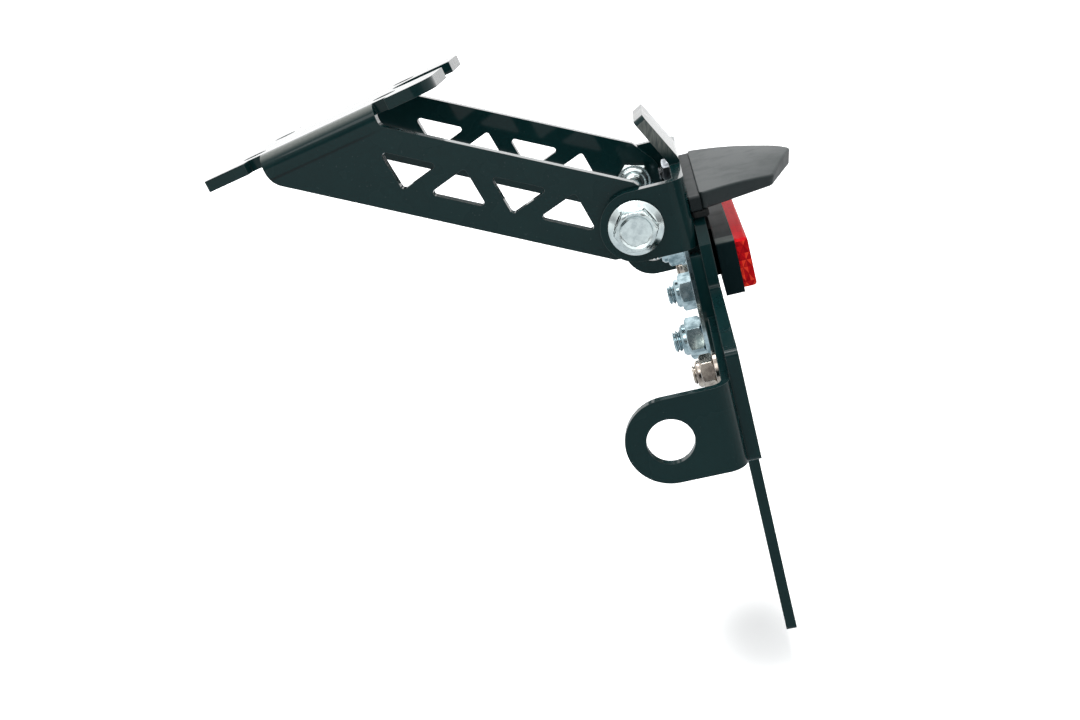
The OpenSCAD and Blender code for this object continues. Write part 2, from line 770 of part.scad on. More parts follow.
module light_base() {
    color("#3a3d40") on_plate() {
        sheet(web_back, hood_front) panel([-light_w / 2, -light_down], [light_w / 2, light_base_h - light_down], 0.8);
        for (side = [-1, 1]) forwards(web_back + over, side * light_stud_w / 2, light_mid)
            shank(light_stud_d, carrier_t + light_nut_h + 1.2 + over);
    }
}

module light_hood() {
    hollow = lens_t + board_t + lamp_h + light_gap;
    color("#54585b") on_plate() difference() {
        translate([0, 0, -light_down]) linear_extrude(hood_h) hood_outline(0);
        translate([0, 0, -light_down - over]) linear_extrude(over + hollow) hood_outline(hood_wall);
    }
}

module light_board() {
    low = lens_t + lamp_h + light_gap - light_down;
    color("#e8e6da") on_plate() {
        translate([0, 0, low]) linear_extrude(board_t) hood_outline(hood_wall + light_gap);
        for (i = [0:lamp_count - 1])
            translate([hood_front + lamp_back, (i - (lamp_count - 1) / 2) * lamp_pitch - lamp_size / 2,
                low - lamp_h]) cube([lamp_size, lamp_size, lamp_h + board_t / 2]);
    }
}

module light_lens() {
    color("#dfe8ec") on_plate() translate([0, 0, -light_down]) linear_extrude(lens_t)
        hood_outline(hood_wall + light_gap);
}

module light_nuts() {
    color("#2a2c2e") on_plate() for (side = [-1, 1])
        forwards(web_front, side * light_stud_w / 2, light_mid) plain_nut(light_stud_d, light_nut_af, light_nut_h);
}

// The reflector: a housing on a foot, held by a stud through holder and web, and a red lens

module reflector_housing() {
    half = reflector_w / 2;
    low = -reflector_top - reflector_h;
    seat = red_margin - red_clear;
    color("#202326") on_plate() {
        difference() {
            sheet(reflector_front, reflector_face) panel([-half, low], [half, -reflector_top], 1);
            sheet(reflector_face - red_seat, reflector_face + over)
                panel([-half + seat, low + seat + red_margin], [half - seat, -reflector_top - seat], 0.8);
        }
        sheet(holder_back, reflector_front + over)
            panel([-reflector_foot_w / 2, low + 0.3], [reflector_foot_w / 2, -reflector_top - 1], 0.8);
        forwards(holder_back + over, 0, reflector_mid)
            shank(reflector_stud_d, over + holder_t + carrier_t + reflector_nut_h + bolt_proud / 2);
    }
}

module reflector_lens() {
    half = reflector_w / 2 - red_margin;
    low = -reflector_top - reflector_h + 2 * red_margin;
    high = -reflector_top - red_margin;
    front = reflector_face + red_t;
    color("#d3202c") on_plate() difference() {
        sheet(reflector_face - red_seat, front) panel([-half, low], [half, high], 0.8);
        across(-half - over, half + over) {
            polygon([[front - 1.2, low - over], [front + over, low - over], [front + over, low + 1.2 + over],
                [front, low + 1.2], [front - 1.2, low]]);
            polygon([[front - 0.5, high + over], [front - 0.5, high], [front, high - 0.5],
                [front + over, high - 0.5], [front + over, high + over]]);
        }
    }
}

module reflector_nut() {
    color(zinc) on_plate() forwards(web_front, 0, reflector_mid)
        lock_nut(reflector_stud_d, reflector_nut_af, reflector_nut_h);
}

tail_bracket();
left_pivot_bolt();
right_pivot_bolt();
left_pivot_nut();
right_pivot_nut();
plate_carrier();
left_backing_strip();
right_backing_strip();
carrier_bolts();
carrier_nuts();
plate_holder();
left_indicator_bracket();
right_indicator_bracket();
left_bracket_bolt();
right_bracket_bolt();
left_bracket_washer();
right_bracket_washer();
left_bracket_nut();
right_bracket_nut();
light_base();
light_board();
light_lens();
light_hood();
light_nuts();
reflector_housing();
reflector_lens();
reflector_nut();
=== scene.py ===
"""Looks of the tail tidy: a powder-coated folded bracket, its tilting carrier, light and reflector.

Lengths in the classes are millimetres; meshes are in metres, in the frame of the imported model.
"""

import json
import logging
import math
from dataclasses import dataclass, field
from enum import Enum
from typing import Any, Iterable, Optional, Union

import bmesh
import bpy
import numpy as np
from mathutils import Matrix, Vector


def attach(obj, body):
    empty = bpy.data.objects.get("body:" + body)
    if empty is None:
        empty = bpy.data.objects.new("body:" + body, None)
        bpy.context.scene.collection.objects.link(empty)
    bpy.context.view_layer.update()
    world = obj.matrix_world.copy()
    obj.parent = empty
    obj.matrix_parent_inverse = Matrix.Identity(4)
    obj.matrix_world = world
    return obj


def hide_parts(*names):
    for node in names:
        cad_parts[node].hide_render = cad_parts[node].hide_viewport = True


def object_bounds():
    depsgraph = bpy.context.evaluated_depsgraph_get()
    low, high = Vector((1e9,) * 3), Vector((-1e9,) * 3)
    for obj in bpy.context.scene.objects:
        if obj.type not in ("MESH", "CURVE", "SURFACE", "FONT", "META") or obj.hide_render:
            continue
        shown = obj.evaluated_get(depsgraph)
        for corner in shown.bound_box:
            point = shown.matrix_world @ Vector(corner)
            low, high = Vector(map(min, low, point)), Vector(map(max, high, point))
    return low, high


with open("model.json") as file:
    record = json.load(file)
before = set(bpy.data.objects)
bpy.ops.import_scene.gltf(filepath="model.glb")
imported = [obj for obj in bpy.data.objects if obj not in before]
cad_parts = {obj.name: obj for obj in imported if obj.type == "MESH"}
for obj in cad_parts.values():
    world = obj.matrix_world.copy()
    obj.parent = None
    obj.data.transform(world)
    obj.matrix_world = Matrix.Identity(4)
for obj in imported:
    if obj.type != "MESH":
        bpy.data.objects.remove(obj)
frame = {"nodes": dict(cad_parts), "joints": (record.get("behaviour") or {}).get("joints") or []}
cad_low, cad_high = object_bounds()

log = logging.getLogger("tail_tidy")

MM = 0.001
PLATE_TILT = math.radians(14.84)
SEAT_TILT = math.radians(24.4)
Array = np.ndarray
Colour = tuple[float, float, float]


class Body(Enum):
    """The two parts that turn on each other."""

    BRACKET = "bracket"
    CARRIER = "carrier"


class Side(Enum):
    """The side of the bike a mirrored piece belongs to, as the sign of its Y."""

    LEFT = -1
    RIGHT = 1

    @property
    def word(self) -> str:
        """The side's name as it stands in the nodes' names."""
        return self.name.lower()


# ---------------------------------------------------------------- shader maths


class Link:
    """A shader socket on which Python's operators add Math nodes."""

    def __init__(self, graph: "Graph", socket: bpy.types.NodeSocket) -> None:
        """Keeps the socket and the graph that new nodes go into."""
        self.graph = graph
        self.socket = socket

    def _math(self, operation: str, left: "Value", right: "Value" = 0.0) -> "Link":
        """Adds one Math node on two values."""
        return self.graph.node("ShaderNodeMath", {"operation": operation}, {0: left, 1: right})

    def __add__(self, other: "Value") -> "Link":
        """Self plus other."""
        return self._math("ADD", self, other)

    __radd__ = __add__

    def __sub__(self, other: "Value") -> "Link":
        """Self minus other."""
        return self._math("SUBTRACT", self, other)

    def __rsub__(self, other: "Value") -> "Link":
        """Other minus self."""
        return self._math("SUBTRACT", other, self)

    def __mul__(self, other: "Value") -> "Link":
        """Self times other."""
        return self._math("MULTIPLY", self, other)

    __rmul__ = __mul__

    def __truediv__(self, other: "Value") -> "Link":
        """Self over other."""
        return self._math("DIVIDE", self, other)

    def __mod__(self, other: "Value") -> "Link":
        """The remainder of self over other, never negative."""
        return self._math("FLOORED_MODULO", self, other)

    def __abs__(self) -> "Link":
        """The size of self without its sign."""
        return self._math("ABSOLUTE", self)

    def larger(self, other: "Value") -> "Link":
        """The larger of self and other."""
        return self._math("MAXIMUM", self, other)

    def whole(self) -> "Link":
        """The whole number at or below self."""
        return self._math("FLOOR", self)


Value = Union[int, float, Link]


class Graph:
    """The nodes of one material or world, added from the output backwards."""

    def __init__(self, owner: Union[bpy.types.Material, bpy.types.World]) -> None:
        """Empties the owner's node tree.

        Args:
            owner: the material or world whose nodes are built.
        """
        owner.use_nodes = True
        self.tree = owner.node_tree
        self.tree.nodes.clear()

    def node(
        self,
        kind: str,
        settings: Optional[dict[str, Any]] = None,
        sockets: Optional[dict[Union[int, str], Any]] = None,
        out: Union[int, str] = 0,
    ) -> Link:
        """Adds one node.

        Args:
            kind: the node's type.
            settings: the node's own settings, which are set first.
            sockets: a value or a link for each input, by name or number.
            out: the output that is returned, by name or number.

        Returns:
            The chosen output as a link.
        """
        made = self.tree.nodes.new(kind)
        for key, value in (settings or {}).items():
            setattr(made, key, value)
        for key, value in (sockets or {}).items():
            if isinstance(value, Link):
                self.tree.links.new(value.socket, made.inputs[key])
            elif isinstance(value, tuple) and len(value) == 3 and made.inputs[key].type == "RGBA":
                made.inputs[key].default_value = (*value, 1.0)
            else:
                made.inputs[key].default_value = value
        return Link(self, made.outputs[out]) if len(made.outputs) else Link(self, None)

    def place(self) -> Link:
        """Where a point lies on the object, in metres."""
        return self.node("ShaderNodeTexCoord", out="Object")

    def facing(self, out: str = "Normal") -> Link:
        """The way the surface faces: Normal with its smoothing, True Normal without."""
        return self.node("ShaderNodeNewGeometry", out=out)

    def split(self, vector: Link, part: str) -> Link:
        """One part, X, Y or Z, of a vector."""
        return self.node("ShaderNodeSeparateXYZ", None, {0: vector}, part)

    def vector(self, operation: str, left: Any, right: Any, out: Union[int, str] = 0) -> Link:
        """Adds one Vector Math node."""
        return self.node("ShaderNodeVectorMath", {"operation": operation}, {0: left, 1: right}, out)

    def noise(self, at: Link, grain: float, detail: float = 2.0) -> Link:
        """Cloudy noise.

        Args:
            at: the place it is read at.
            grain: the size of its clouds in millimetres.
            detail: how many finer layers it has.

        Returns:
            The noise, about 0.5 on average.
        """
        return self.node(
            "ShaderNodeTexNoise", None,
            {"Vector": at, "Scale": 1.0 / (grain * MM), "Detail": detail, "Roughness": 0.55},
        )

    def rise(self, value: Value, low: float, high: float, start: float = 0.0, end: float = 1.0) -> Link:
        """A smooth step from start to end as the value goes from low to high."""
        return self.node(
            "ShaderNodeMapRange", {"interpolation_type": "SMOOTHSTEP"},
            {"Value": value, "From Min": low, "From Max": high, "To Min": start, "To Max": end},
        )

    def blend(self, share: Value, first: Any, second: Any) -> Link:
        """A colour between first and second."""
        return self.node(
            "ShaderNodeMix", {"data_type": "RGBA"}, {0: share, 6: first, 7: second}, 2
        )

    def soft_normal(self, radius: float) -> Link:
        """The surface's normal with its edges rounded over a radius in millimetres."""
        return self.node("ShaderNodeBevel", {"samples": 8}, {"Radius": radius * MM})

    def edge(self, soft: Link) -> Link:
        """How far the rounded normal turns from the flat one: 0 on a face, about 0.3 on an edge."""
        return 1.0 - self.vector("DOT_PRODUCT", soft, self.facing(), "Value")

    def bump(self, height: Value, depth: float, normal: Optional[Link] = None) -> Link:
        """A bump from a height of 0 to 1 that stands for a depth in millimetres."""
        sockets = {"Height": height, "Distance": depth * MM, "Strength": 1.0}
        return self.node("ShaderNodeBump", None, sockets | ({"Normal": normal} if normal else {}))

    def surface(self, **sockets: Any) -> Link:
        """A Principled shader; underscores in names stand for spaces."""
        return self.node(
            "ShaderNodeBsdfPrincipled", None, {k.replace("_", " "): v for k, v in sockets.items()}
        )

    def rays(self) -> tuple[Link, Link]:
        """Whether a ray comes straight from the camera or through glass, and whether it does so or is
        mirrored."""
        camera, through, mirrored = (
            self.node("ShaderNodeLightPath", out=f"Is {kind} Ray")
            for kind in ("Camera", "Transmission", "Glossy")
        )
        direct = camera.larger(through)
        return direct, direct.larger(mirrored)

    def mix(self, share: Value, first: Link, second: Link) -> Link:
        """A shader between first and second."""
        return self.node("ShaderNodeMixShader", None, {0: share, 1: first, 2: second})

    def finish(self, shader: Link, kind: str = "ShaderNodeOutputMaterial") -> None:
        """Joins the shader to the output."""
        self.node(kind, None, {"Surface": shader})


# ---------------------------------------------------------------- finishes


class Finish:
    """A finish that makes its own material once."""

    slot: str
    label: str

    def shade(self, g: Graph) -> Link:
        """Builds the finish's shader."""
        raise NotImplementedError

    def material(self) -> bpy.types.Material:
        """The finish's material, made on its first use."""
        found = bpy.data.materials.get(self.label)
        if found is None:
            found = bpy.data.materials.new(self.label)
            graph = Graph(found)
            graph.finish(self.shade(graph))
        return found


@dataclass(frozen=True)
class PowderCoat(Finish):
    """Black powder coat: satin, with a fine orange peel, rubbed thin and grey on its edges.

    Lengths are millimetres. press_line is how far below the seat a press line runs along the arms, with
    painted shade in it and a painted highlight on the folds, and highlight_from the height above which
    cut sides get a painted highlight; 0 leaves either out.
    """

    slot: str = "powder_coat"
    label: str = "powder coat"
    colour: Colour = (0.0016, 0.0150, 0.0165)
    cloud: Colour = (0.0035, 0.0225, 0.0230)
    rubbed: Colour = (0.085, 0.10, 0.10)
    # the colour of the painted highlights on the folds and the high cut sides
    painted_highlight: Colour = (0.20, 0.21, 0.195)
    # the colour of the painted shade in the press line
    shaded: Colour = (0.0, 0.003, 0.004)
    cloud_grain: float = 16.0
    patch_grain: float = 1.6
    speck_grain: float = 0.55
    peel_grain: float = 0.42
    peel_depth: float = 0.004
    edge_radius: float = 0.45
    gloss: float = 1.21
    press_line: float = 0.0
    press_width: float = 0.6
    press_depth: float = 0.05
    arm_face: float = 30.0
    highlight_from: float = 0.0
    highlight_fade: float = 6.0

    @staticmethod
    def off_seat(g: Graph, vector: Link) -> Link:
        """The part of a vector that stands square to the seat: Z times the cosine less X times the
        sine of the seat's tilt."""
        return g.split(vector, "Z") * math.cos(SEAT_TILT) - g.split(vector, "X") * math.sin(SEAT_TILT)

    def pressed(self, g: Graph, at: Link) -> Link:
        """The faint line the folding press left on the arms' outsides, fading out rearwards."""
        gap = abs(self.off_seat(g, at) + self.press_line * MM)
        line = g.rise(gap, self.press_width * MM, 0.0)
        flank = g.rise(abs(g.split(at, "Y")), self.arm_face * MM, (self.arm_face + 0.3) * MM)
        return line * flank * g.rise(g.split(at, "X"), 0.022, 0.012)

    def fold_highlight(self, g: Graph, at: Link) -> Link:
        """Where a painted highlight lies along the outside of the folds: where the surface faces
        between the seat's way and sideways, in clouds."""
        facing = g.facing()
        up, sideways = self.off_seat(g, facing), abs(g.split(facing, "Y"))
        fold = g.rise(up, 0.50, 0.84) * g.rise(up, 0.99, 0.95) * g.rise(sideways, 0.13, 0.25)
        return fold * (0.50 + 0.25 * g.noise(at, 0.8))

    def side_highlight(self, g: Graph, at: Link) -> Link:
        """Where a painted highlight lies in streaks on the cut sides of what stands high, facing across
        the bike.
        """
        streak = g.noise(g.vector("MULTIPLY", at, (8.0, 1.0, 1.0)), 3.0, 3.0)
        high = g.rise(g.split(at, "Z"), self.highlight_from * MM, (self.highlight_from + self.highlight_fade) * MM)
        sideways = abs(g.split(g.facing(), "Y"))
        return high * g.rise(sideways, 0.90, 0.96) * g.rise(streak, 0.30, 0.65, 0.35, 0.85)

    def shade(self, g: Graph) -> Link:
        """Clouds the coat, roughens it in patches and lightens what hands and tools have rubbed; paints
        shade into the press line and highlights on the folds and the high cut sides.
        """
        at = g.place()
        soft = g.soft_normal(self.edge_radius)
        broad = g.noise(at, self.cloud_grain, 3.0)
        patch = g.noise(at, self.patch_grain, 3.0)
        rub = g.rise(g.edge(soft) * (0.55 + 0.9 * patch), 0.06, 0.24)
        speck = g.rise(g.noise(at, self.speck_grain, 0.0), 0.79, 0.84)
        base = g.blend(broad, self.colour, self.cloud)
        base = g.blend(rub * 0.55, base, self.rubbed)
        base = g.blend(speck * 0.12, base, self.rubbed)
        dent = soft
        if self.press_line:
            line = self.pressed(g, at)
            dent = g.bump(line, self.press_depth, soft)
            # painted shade: the press line's groove is darkened in the coat's colour
            base = g.blend(0.7 * line, base, self.shaded)
            # painted highlight along the outsides of the folds
            base = g.blend(self.fold_highlight(g, at), base, self.painted_highlight)
        if self.highlight_from:
            # painted highlight in streaks on the high cut sides that face across the bike
            base = g.blend(self.side_highlight(g, at), base, self.painted_highlight)
        rough = g.rise(broad, 0.3, 0.7, 0.24, 0.31) + 0.10 * rub + 0.08 * speck
        return g.surface(
            Base_Color=base, Roughness=rough, IOR=1.12,
            Normal=g.bump(g.noise(at, self.peel_grain, 1.0), self.peel_depth, dent),
            Coat_Weight=1.0, Coat_Roughness=0.05, Coat_IOR=self.gloss,
        )


@dataclass(frozen=True)
class Metal(Finish):
    """A bare or plated metal with rolled grain, fine scratches, dull patches and bright worn edges."""

    slot: str
    label: str
    colour: Colour
    dull: Colour
    rough: float = 0.12
    worn: float = 0.5
    bare: Colour = (0.9, 0.9, 0.9)
    patch_grain: float = 2.4
    scratch_grain: float = 1.5
    fine_grain: float = 0.22
    grain_depth: float = 0.003
    edge_radius: float = 0.25

    def shade(self, g: Graph) -> Link:
        """Mixes the bright metal with duller clouds and lays scratches over it."""
        at = g.place()
        soft = g.soft_normal(self.edge_radius)
        cloud = g.rise(g.noise(at, self.patch_grain, 4.0), 0.35, 0.72)
        streak = g.noise(g.vector("MULTIPLY", at, (9.0, 1.0, 1.6)), self.scratch_grain, 3.0)
        base = g.blend(cloud, self.colour, self.dull)
        base = g.blend(g.rise(g.edge(soft), 0.03, 0.2) * self.worn, base, self.bare)
        rough = self.rough + 0.10 * cloud + 0.08 * streak
        grain = 0.5 * streak + 0.5 * g.noise(at, self.fine_grain)
        return g.surface(
            Base_Color=base, Metallic=1.0, Roughness=rough,
            Normal=g.bump(grain, self.grain_depth, soft),
        )


@dataclass(frozen=True)
class Plastic(Finish):
    """A moulded plastic with a fine sparked grain and a little dust.

    Lengths are millimetres. Past lit_from to either side nothing hangs over the top, so light falls on
    it, and the top is painted lighter there: painted light; 0 leaves that out.
    """

    slot: str
    label: str
    colour: Colour
    dust: Colour
    rough: float = 0.5
    grain: float = 0.012
    gloss: float = 1.45
    lit_from: float = 0.0
    # the colour of the painted light on the top's open ends
    lit_top: Colour = (0.17, 0.19, 0.18)
    cloud_grain: float = 7.0
    spark_grain: float = 0.28
    edge_radius: float = 0.4

    def shade(self, g: Graph) -> Link:
        """Lays the mould's grain as a bump and dust as faint clouds, and paints light on the top's open
        ends.
        """
        at = g.place()
        soft = g.soft_normal(self.edge_radius)
        cloud = g.rise(g.noise(at, self.cloud_grain, 4.0), 0.4, 0.8)
        spark = g.noise(at, self.spark_grain)
        base = g.blend(0.35 * cloud + 0.2 * spark, self.colour, self.dust)
        base = g.blend(0.35 * g.rise(g.edge(soft), 0.04, 0.25), base, self.dust)
        # painted light: the level top is lighter where nothing hangs over it, in clouds
        if self.lit_from:
            level = g.rise(g.split(g.facing(), "Z"), 0.5, 0.9)
            end = g.rise(abs(g.split(at, "Y")), self.lit_from * MM, (self.lit_from + 1.0) * MM)
            base = g.blend(level * end * (0.6 + 0.4 * cloud), base, self.lit_top)
        rough = self.rough + 0.10 * cloud + 0.06 * spark
        return g.surface(
            Base_Color=base, Roughness=rough, Normal=g.bump(spark, self.grain, soft), IOR=self.gloss
        )


@dataclass(frozen=True)
class ClearPlastic(Finish):
    """The light's clear lens: polished, with faint flow marks."""

    slot: str = "clear_lens"
    label: str = "clear lens"
    colour: Colour = (0.90, 0.93, 0.95)
    marks: Colour = (0.82, 0.86, 0.88)

    def shade(self, g: Graph) -> Link:
        """Lets light through a barely tinted skin."""
        flow = g.noise(g.place(), 5.0)
        return g.surface(
            Base_Color=g.blend(flow, self.colour, self.marks), Roughness=0.05 + 0.05 * flow,
            Transmission_Weight=0.85, IOR=1.49, Normal=g.bump(flow, 0.02),
        )


@dataclass(frozen=True)
class RedReflector(Finish):
    """Clear red plastic over rows of three-cornered prisms, with painted glints on some of them for
    those that face the light.

    Each prism is width by height, in millimetres. The lid is painted lighter and given a painted glow
    for the red light that the lens carries.
    """

    slot: str = "reflector_red"
    label: str = "red reflector"
    deep: Colour = (0.21, 0.002, 0.008)
    # the red of prisms that catch the light, for the painted brightness
    lit_red: Colour = (0.62, 0.010, 0.012)
    glint: Colour = (0.80, 0.050, 0.025)
    # the colour of the lid's painted glow
    painted_glow: Colour = (0.24, 0.005, 0.010)
    width: float = 2.3
    height: float = 1.9
    ridge_width: float = 0.16
    ridge_depth: float = 0.03
    edge_radius: float = 0.5

    def shade(self, g: Graph) -> Link:
        """Lays triangles in rows on each face: a zigzag cuts every row into prisms that point up and
        down, and each prism gets a painted brightness of its own, the up-pointing ones and the lid
        lighter, with painted glints on some."""
        at = g.place()
        turn = {"Rotation": (0.0, PLATE_TILT, 0.0)}
        turned = g.node("ShaderNodeMapping", {"vector_type": "POINT"}, {"Vector": at, **turn})
        facing = g.node(
            "ShaderNodeMapping", {"vector_type": "NORMAL"},
            {"Vector": g.facing("True Normal"), **turn},
        )
        end = g.rise(abs(g.split(facing, "Y")), 0.70, 0.72)
        lid = g.rise(abs(g.split(facing, "Z")), 0.70, 0.72)
        depth, across, up = (g.split(turned, part) for part in "XYZ")
        row = (up * (1.0 - lid) + depth * lid) / (self.height * MM)
        column = (across * (1.0 - end) + depth * end) / (self.width * MM) + row.whole() * 0.5
        rising = row % 1.0 - abs(column % 1.0 - 0.5) * 2.0
        upward = g.rise(rising, -0.03, 0.03)
        cell = g.node(
            "ShaderNodeCombineXYZ", None,
            {0: (column + 0.5 * upward).whole(), 1: row.whole(), 2: g.rise(rising, -0.001, 0.001)},
        )
        odd = g.node("ShaderNodeTexWhiteNoise", {"noise_dimensions": "3D"}, {"Vector": cell}, "Value")
        # painted light: each prism's own brightness, lighter where it points up and on the lid
        base = g.blend(0.25 + 0.5 * odd + 0.25 * upward + 0.4 * lid, self.deep, self.lit_red)
        # painted glints on some prisms, mostly on the end faces, none on the lid
        base = g.blend(g.rise(odd, 0.70, 0.80) * (0.35 + 0.55 * end) * (1.0 - lid), base, self.glint)
        ridge = g.rise(abs(rising), 0.0, self.ridge_width)
        base = g.blend((1.0 - ridge) * (0.5 - 0.35 * lid), base, self.deep)
        return g.surface(
            Base_Color=base, Roughness=0.16 + 0.05 * g.noise(at, 3.0), IOR=1.04,
            Normal=g.bump(ridge, self.ridge_depth, g.soft_normal(self.edge_radius)),
            # painted glow: the lid emits red though the lens is no lamp
            Emission_Color=g.blend(lid, (0.0, 0.0, 0.0), self.painted_glow), Emission_Strength=1.0,
        )


COAT = PowderCoat()
FOLDED_COAT = PowderCoat(label="powder coat on the folds", gloss=1.25, press_line=6.6)
TAB_COAT = PowderCoat(label="powder coat on the tab", highlight_from=-9.0)
ZINC = Metal("zinc_plate", "zinc plate", (0.66, 0.74, 0.735), (0.50, 0.57, 0.58))
BLUE_ZINC = Metal("zinc_plate", "blue zinc plate", (0.42, 0.54, 0.58), (0.15, 0.23, 0.26), 0.09)
STAINLESS = Metal("stainless", "stainless steel", (0.50, 0.45, 0.39), (0.20, 0.17, 0.15), 0.08)
BLACK_ZINC = Metal("black_zinc", "black zinc", (0.13, 0.14, 0.15), (0.03, 0.032, 0.035), 0.20, 0.15)
HOOD_PLASTIC = Plastic(
    "light_plastic", "light plastic", (0.012, 0.019, 0.020), (0.024, 0.031, 0.031), 0.42, gloss=1.32
)
BASE_PLASTIC = Plastic(
    "light_plastic", "base plastic", (0.006, 0.010, 0.011), (0.016, 0.021, 0.022), 0.48, gloss=1.25
)
# a plain black for the strip that stands in for the shade under the light's base
SHADE_BLACK = Plastic(
    "light_plastic", "shade black", (0.006, 0.007, 0.007), (0.012, 0.013, 0.013), 0.60, 0.006, 1.25
)
BOARD = Plastic(
    "board_white", "white board", (0.78, 0.77, 0.72), (0.70, 0.68, 0.62), 0.55, 0.004
)
HOUSING = Plastic(
    "reflector_black", "black moulding", (0.003, 0.010, 0.0115), (0.008, 0.018, 0.020), 0.30, 0.003,
    1.09, lit_from=24.5,
)
CLEAR = ClearPlastic()
RED = RedReflector()


# ---------------------------------------------------------------- surfaces on grids


@dataclass(frozen=True)
class PlateFrame:
    """The plate's own frame: v rearwards through the plate, y across, w up, all from the pivot."""

    pivot: tuple[float, float]
    tilt: float

    @staticmethod
    def packed() -> "PlateFrame":
        """The frame at rest, from the joint in the record and the plate's tilt."""
        x, _, z = frame["joints"][0]["pos_m"]
        return PlateFrame((x / MM, z / MM), PLATE_TILT)

    def raised(self, plan: Array, height: Array) -> Array:
        """The row coordinates of plan points (v, y) at a height."""
        return self.points(plan[..., 0], plan[..., 1], height)

    def points(self, v: Array, y: Array, w: Array) -> Array:
        """Turns plate coordinates into row coordinates.

        X is the pivot's X plus v times the cosine minus w times the sine of the tilt, and
        Z the pivot's Z plus v times the sine plus w times the cosine.

        Args:
            v: distances rearwards, in millimetres.
            y: distances across.
            w: distances up.

        Returns:
            An array of (..., 3) in metres.
        """
        c, s = math.cos(self.tilt), math.sin(self.tilt)
        v, y, w = np.broadcast_arrays(v, y, w)
        return np.stack([self.pivot[0] + v * c - w * s, y, self.pivot[1] + v * s + w * c], -1) * MM


PLATE = PlateFrame.packed()


def grid_faces(rows: int, columns: int) -> Array:
    """The four corners of each face of a grid that is closed round its columns.

    Face (i, j) joins points (i, j), (i + 1, j), (i + 1, j + 1) and (i, j + 1), and the column past the
    last is the first.

    Args:
        rows: points along the first parameter.
        columns: points along the second parameter.

    Returns:
        An array of (faces, 4) indices.
    """
    i, j = np.meshgrid(np.arange(rows - 1), np.arange(columns), indexing="ij")
    i, j = i.ravel(), j.ravel()
    here, there, b = i * columns, (i + 1) * columns, (j + 1) % columns
    return np.stack([here + j, there + j, there + b, here + b], -1)


def put(name: str, data: bpy.types.ID) -> bpy.types.Object:
    """A new object in the scene, at the origin."""
    made = bpy.data.objects.new(name, data)
    bpy.context.scene.collection.objects.link(made)
    return made


def tidy(mesh: bpy.types.Mesh, gap: float) -> None:
    """Merges points closer than the gap in metres and turns the faces outwards."""
    work = bmesh.new()
    work.from_mesh(mesh)
    bmesh.ops.remove_doubles(work, verts=work.verts, dist=gap)
    bmesh.ops.dissolve_degenerate(work, edges=work.edges, dist=gap * 0.5)
    bmesh.ops.recalc_face_normals(work, faces=work.faces)
    work.to_mesh(mesh)
    work.free()


def smooth(mesh: bpy.types.Mesh, angle: float) -> None:
    """Shades a mesh smooth and keeps the edges sharper than an angle in degrees."""
    mesh.shade_smooth()
    mesh.set_sharp_from_angle(angle=math.radians(angle))


def new_piece(
    name: str, points: Array, finish: Finish, body: Body, sharp: float = 50.0
) -> bpy.types.Object:
    """Puts a grid of points into a mesh that rides on a body.

    Points that fall together, as at a pole, are merged, and the faces are turned to point outwards.

    Args:
        name: the piece's name.
        points: (rows, columns, 3) in metres, closed round the columns, its first and last rows a point
            each.
        finish: what it is made of.
        body: the body it moves with.
        sharp: the angle in degrees above which an edge stays sharp.

    Returns:
        The new object.
    """
    mesh = bpy.data.meshes.new(name)
    mesh.from_pydata(points.reshape(-1, 3), [], grid_faces(*points.shape[:2]))
    tidy(mesh, 1e-6)
    mesh.materials.append(finish.material())
    smooth(mesh, sharp)
    made = put(name, mesh)
    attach(made, body.value)
    return made


def rounded_outline(corners: Iterable[tuple[float, float, float]], step: float = 0.5) -> Array:
    """A closed outline with rounded corners, as evenly spaced points.

    Each corner (x, y, radius) is replaced by the arc that touches both of its sides; the chain of
    arcs and sides is then read off at equal steps of its length.

    Args:
        corners: corner points with their radii, anticlockwise.
        step: distance between points.

    Returns:
        An array of (n, 2).
    """
    ring = np.array(list(corners), float)
    at, radius = ring[:, :2], ring[:, 2]
    back, on = np.roll(at, 1, 0) - at, np.roll(at, -1, 0) - at
    back /= np.linalg.norm(back, axis=1, keepdims=True)
    on /= np.linalg.norm(on, axis=1, keepdims=True)
    half = np.arccos(np.clip((back * on).sum(1), -1, 1)) / 2
    middle = back + on
    middle /= np.linalg.norm(middle, axis=1, keepdims=True)
    centre = at + middle * (radius / np.sin(half))[:, None]
    cut = (radius / np.tan(half))[:, None]
    first, last = at + back * cut - centre, at + on * cut - centre
    cross = first[:, 0] * last[:, 1] - first[:, 1] * last[:, 0]
    swing = np.arctan2(cross, (first * last).sum(1))[:, None] * np.linspace(0, 1, 17)
    turn = np.stack([
        first[:, :1] * np.cos(swing) - first[:, 1:] * np.sin(swing),
        first[:, :1] * np.sin(swing) + first[:, 1:] * np.cos(swing),
    ], -1)
    chain = (centre[:, None, :] + turn).reshape(-1, 2)
    chain = np.vstack([chain, chain[:1]])
    run = np.concatenate([[0], np.cumsum(np.linalg.norm(np.diff(chain, axis=0), axis=1))])
    count = max(12, int(round(run[-1] / step)))
    s = np.arange(count) / count * run[-1]
    return np.stack([np.interp(s, run, chain[:, 0]), np.interp(s, run, chain[:, 1])], -1)


def shrunk(outline: Array, middle: Array, shares: Array) -> Array:
    """Copies of an outline, each drawn in towards a middle to its share of the distance."""
    return middle + (outline - middle) * shares[:, None, None]


def inward(outline: Array) -> Array:
    """Unit vectors at an anticlockwise outline's points, at right angles to it and pointing inwards."""
    along = np.roll(outline, -1, 0) - np.roll(outline, 1, 0)
    along /= np.linalg.norm(along, axis=1, keepdims=True)
    return np.stack([-along[:, 1], along[:, 0]], -1)


# ---------------------------------------------------------------- sub-assemblies


